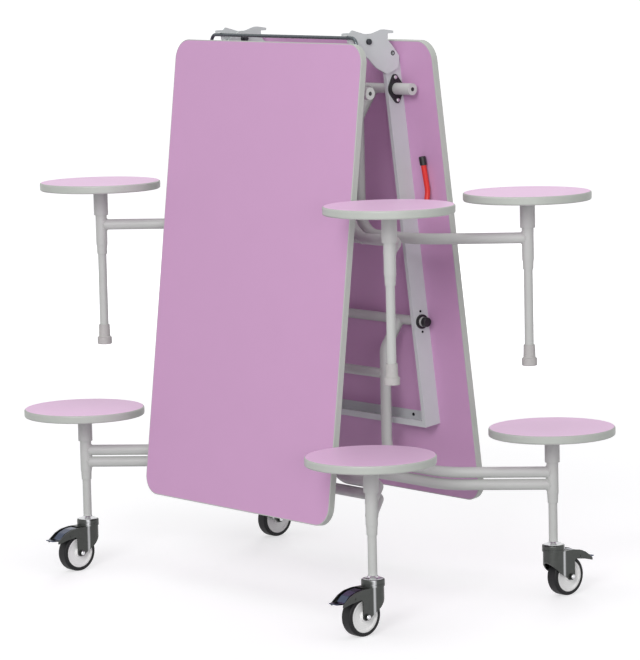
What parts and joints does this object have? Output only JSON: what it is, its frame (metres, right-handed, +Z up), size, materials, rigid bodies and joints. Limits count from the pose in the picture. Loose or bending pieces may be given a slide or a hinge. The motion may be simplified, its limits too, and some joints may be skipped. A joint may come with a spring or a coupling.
{
  "type": "mobile folding table with stool seats",
  "caption": "Cafeteria table that folds upright on castors: hinged table panels with round stool seats on tubular arms, a latch bar over the centre hinge and a release lever.",
  "frame": {"origin": "on the floor, under the middle of the centre hinge", "axes": "+X along the hinge line, +Y towards the rear panel, +Z up"},
  "size_m": [1.488, 0.9236, 1.4408],
  "materials": {
    "panel_laminate": "lilac high-pressure laminate on board",
    "seat_laminate": "pale pink laminate on board",
    "edge_lipping": "moulded grey edge lipping",
    "frame_paint": "light grey powder coat on bent steel tube",
    "rail_paint": "light grey powder coat on folded steel sheet",
    "plate_paint": "light grey powder coat on laser-cut plate",
    "bush_plastic": "black moulded nylon",
    "screw_zinc": "bright zinc-plated steel",
    "bolt_black": "black oxide steel",
    "latch_steel": "dark steel rod",
    "lever_red": "red powder-coated tube",
    "cap_black": "black moulded cap",
    "foot_rubber": "grey rubber ferrule",
    "castor_zinc": "zinc-plated pressed steel",
    "pedal_zinc": "zinc-plated pressed steel",
    "hub_plastic": "white-grey moulded polypropylene",
    "tyre_rubber": "black rubber tread"
  },
  "bodies": {
    "front_lower_seat_frame": {"front_lower_frame": "frame_paint", "front_lower_seat_mounts": "frame_paint", "front_lower_seat_edges": "edge_lipping", "front_lower_legs": "frame_paint", "front_lower_left_seat": "seat_laminate", "front_lower_right_seat": "seat_laminate", "front_lower_end_caps": "cap_black"},
    "front_upper_seat_frame": {"front_upper_frame": "frame_paint", "front_upper_seat_mounts": "frame_paint", "front_upper_seat_edges": "edge_lipping", "front_upper_legs": "frame_paint", "front_upper_left_seat": "seat_laminate", "front_upper_right_seat": "seat_laminate", "front_upper_rubber_feet": "foot_rubber"},
    "front_panel": {"front_table_panel": "panel_laminate", "front_panel_lipping": "edge_lipping", "front_rails": "rail_paint", "front_pivot_bushes": "bush_plastic", "front_bush_screws": "screw_zinc", "plain_hinge_plates": "plate_paint", "hinge_bolts": "bolt_black"},
    "rear_lower_seat_frame": {"rear_lower_frame": "frame_paint", "rear_lower_seat_mounts": "frame_paint", "rear_lower_seat_edges": "edge_lipping", "rear_lower_legs": "frame_paint", "rear_lower_left_seat": "seat_laminate", "rear_lower_right_seat": "seat_laminate", "rear_lower_end_caps": "cap_black"},
    "rear_upper_seat_frame": {"rear_upper_frame": "frame_paint", "rear_upper_seat_mounts": "frame_paint", "rear_upper_seat_edges": "edge_lipping", "rear_upper_legs": "frame_paint", "rear_upper_left_seat": "seat_laminate", "rear_upper_right_seat": "seat_laminate", "rear_upper_rubber_feet": "foot_rubber"},
    "rear_panel": {"rear_table_panel": "panel_laminate", "rear_panel_lipping": "edge_lipping", "rear_rails": "rail_paint", "rear_pivot_bushes": "bush_plastic", "rear_bush_screws": "screw_zinc", "horned_hinge_plates": "plate_paint"},
    "latch_bar": {"latch_bar": "latch_steel"},
    "release_lever": {"release_lever": "lever_red", "release_lever_cap": "cap_black"},
    "front_left_castor": {"front_left_castor_fork": "castor_zinc"},
    "front_left_wheel": {"front_left_castor_hub": "hub_plastic", "front_left_castor_tyre": "tyre_rubber"},
    "front_left_brake_pedal": {"front_left_castor_pedal": "pedal_zinc"},
    "front_right_castor": {"front_right_castor_fork": "castor_zinc"},
    "front_right_wheel": {"front_right_castor_hub": "hub_plastic", "front_right_castor_tyre": "tyre_rubber"},
    "front_right_brake_pedal": {"front_right_castor_pedal": "pedal_zinc"},
    "rear_left_castor": {"rear_left_castor_fork": "castor_zinc"},
    "rear_left_wheel": {"rear_left_castor_hub": "hub_plastic", "rear_left_castor_tyre": "tyre_rubber"},
    "rear_left_brake_pedal": {"rear_left_castor_pedal": "pedal_zinc"},
    "rear_right_castor": {"rear_right_castor_fork": "castor_zinc"},
    "rear_right_wheel": {"rear_right_castor_hub": "hub_plastic", "rear_right_castor_tyre": "tyre_rubber"},
    "rear_right_brake_pedal": {"rear_right_castor_pedal": "pedal_zinc"}
  },
  "joints": [
    {"name": "fold", "type": "hinge", "parent": "front_lower_seat_frame", "child": "front_panel", "pos_m": [0, -0.16544, 0.689], "axis": [-1, 0, 0], "range_deg": [0, 82.97]},
    {"name": "centre_hinge", "type": "hinge", "parent": "front_panel", "child": "rear_panel", "pos_m": [0, 0, 1.41018], "axis": [1, 0, 0], "range_deg": [0, 165.95]},
    {"name": "rear_lower_pivot", "type": "hinge", "parent": "rear_panel", "child": "rear_lower_seat_frame", "pos_m": [0, 0.16544, 0.689], "axis": [-1, 0, 0], "range_deg": [0, 82.97]},
    {"name": "front_upper_pivot", "type": "hinge", "parent": "front_panel", "child": "front_upper_seat_frame", "pos_m": [0, -0.09157, 1.28847], "axis": [1, 0, 0], "range_deg": [0, 82.97]},
    {"name": "rear_upper_pivot", "type": "hinge", "parent": "rear_panel", "child": "rear_upper_seat_frame", "pos_m": [0, 0.09157, 1.28847], "axis": [-1, 0, 0], "range_deg": [0, 82.97]},
    {"name": "front_left_swivel", "type": "hinge", "parent": "front_lower_seat_frame", "child": "front_left_castor", "pos_m": [-0.584, -0.30184, 0.136], "axis": [0, 0, 1], "continuous": true},
    {"name": "front_left_wheel_spin", "type": "hinge", "parent": "front_left_castor", "child": "front_left_wheel", "pos_m": [-0.584, -0.34184, 0.05], "axis": [1, 0, 0], "continuous": true},
    {"name": "front_left_brake", "type": "hinge", "parent": "front_left_castor", "child": "front_left_brake_pedal", "pos_m": [-0.584, -0.37584, 0.098], "axis": [1, 0, 0], "range_deg": [0, 8]},
    {"name": "front_right_swivel", "type": "hinge", "parent": "front_lower_seat_frame", "child": "front_right_castor", "pos_m": [0.584, -0.30184, 0.136], "axis": [0, 0, 1], "continuous": true},
    {"name": "front_right_wheel_spin", "type": "hinge", "parent": "front_right_castor", "child": "front_right_wheel", "pos_m": [0.584, -0.34184, 0.05], "axis": [1, 0, 0], "continuous": true},
    {"name": "front_right_brake", "type": "hinge", "parent": "front_right_castor", "child": "front_right_brake_pedal", "pos_m": [0.584, -0.37584, 0.098], "axis": [1, 0, 0], "range_deg": [0, 8]},
    {"name": "rear_left_swivel", "type": "hinge", "parent": "rear_lower_seat_frame", "child": "rear_left_castor", "pos_m": [-0.584, 0.30184, 0.136], "axis": [0, 0, 1], "continuous": true},
    {"name": "rear_left_wheel_spin", "type": "hinge", "parent": "rear_left_castor", "child": "rear_left_wheel", "pos_m": [-0.584, 0.34184, 0.05], "axis": [1, 0, 0], "continuous": true},
    {"name": "rear_left_brake", "type": "hinge", "parent": "rear_left_castor", "child": "rear_left_brake_pedal", "pos_m": [-0.584, 0.37584, 0.098], "axis": [-1, 0, 0], "range_deg": [0, 8]},
    {"name": "rear_right_swivel", "type": "hinge", "parent": "rear_lower_seat_frame", "child": "rear_right_castor", "pos_m": [0.584, 0.30184, 0.136], "axis": [0, 0, 1], "continuous": true},
    {"name": "rear_right_wheel_spin", "type": "hinge", "parent": "rear_right_castor", "child": "rear_right_wheel", "pos_m": [0.584, 0.34184, 0.05], "axis": [1, 0, 0], "continuous": true},
    {"name": "rear_right_brake", "type": "hinge", "parent": "rear_right_castor", "child": "rear_right_brake_pedal", "pos_m": [0.584, 0.37584, 0.098], "axis": [-1, 0, 0], "range_deg": [0, 8]},
    {"name": "latch_release", "type": "hinge", "parent": "front_panel", "child": "latch_bar", "pos_m": [0, -0.06848, 1.34507], "axis": [1, 0, 0], "range_deg": [0, 16], "stiffness_Nm_per_rad": 1, "springref_deg": -14.32},
    {"name": "lever_pull", "type": "hinge", "parent": "rear_panel", "child": "release_lever", "pos_m": [0.25, 0.12912, 0.98377], "axis": [1, 0, 0], "range_deg": [0, 12], "stiffness_Nm_per_rad": 2, "springref_deg": -11.46}
  ],
  "couplings": [
    {"joint": "centre_hinge", "follows": "fold", "ratio": 2},
    {"joint": "rear_lower_pivot", "follows": "fold", "ratio": 1},
    {"joint": "front_upper_pivot", "follows": "fold", "ratio": 1},
    {"joint": "rear_upper_pivot", "follows": "fold", "ratio": 1}
  ]
}
